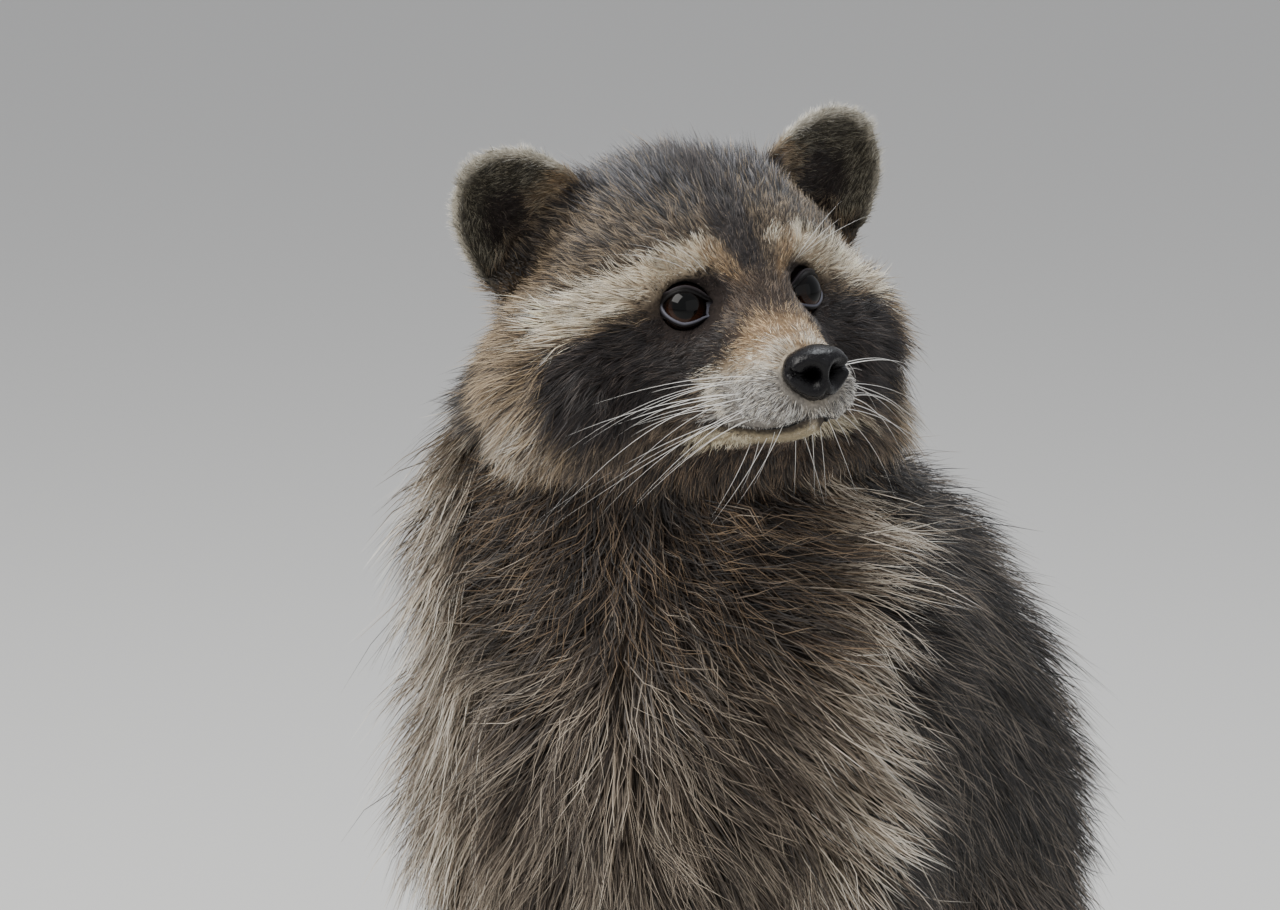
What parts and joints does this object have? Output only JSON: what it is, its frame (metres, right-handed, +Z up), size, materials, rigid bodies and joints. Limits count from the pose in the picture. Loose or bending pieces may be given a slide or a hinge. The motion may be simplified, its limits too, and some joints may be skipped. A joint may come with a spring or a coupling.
{
  "type": "sitting raccoon model",
  "caption": "Life-size model of a raccoon that sits on its haunches with straight forelegs, its head turned to its left and its ringed tail curled on the floor.",
  "frame": {"origin": "middle of the footprint's bounding box, on the floor", "axes": "+Z up, the chest faces -Y, the animal's left side is +X"},
  "size_m": [0.3146, 0.542, 0.4396],
  "materials": {
    "coat": "grizzled grey-brown fur",
    "face_coat": "short fur with a black mask and white brows",
    "tail_coat": "buff fur with dark rings",
    "paw": "short fur over dark bare soles",
    "nose": "black, pebbled and moist",
    "eye": "very dark brown, polished"
  },
  "bodies": {
    "root": {"ear_left": "coat", "ear_right": "coat", "eye_left": "eye", "eye_right": "eye", "forearm_left": "coat", "forearm_right": "coat", "forepaw_left": "paw", "forepaw_right": "paw", "head": "face_coat", "hindfoot_left": "paw", "hindfoot_right": "paw", "neck": "coat", "nose": "nose", "tail_1": "tail_coat", "tail_2": "tail_coat", "tail_3": "tail_coat", "tail_4": "tail_coat", "thigh_left": "coat", "thigh_right": "coat", "trunk": "coat", "upper_arm_left": "coat", "upper_arm_right": "coat"}
  },
  "joints": []
}
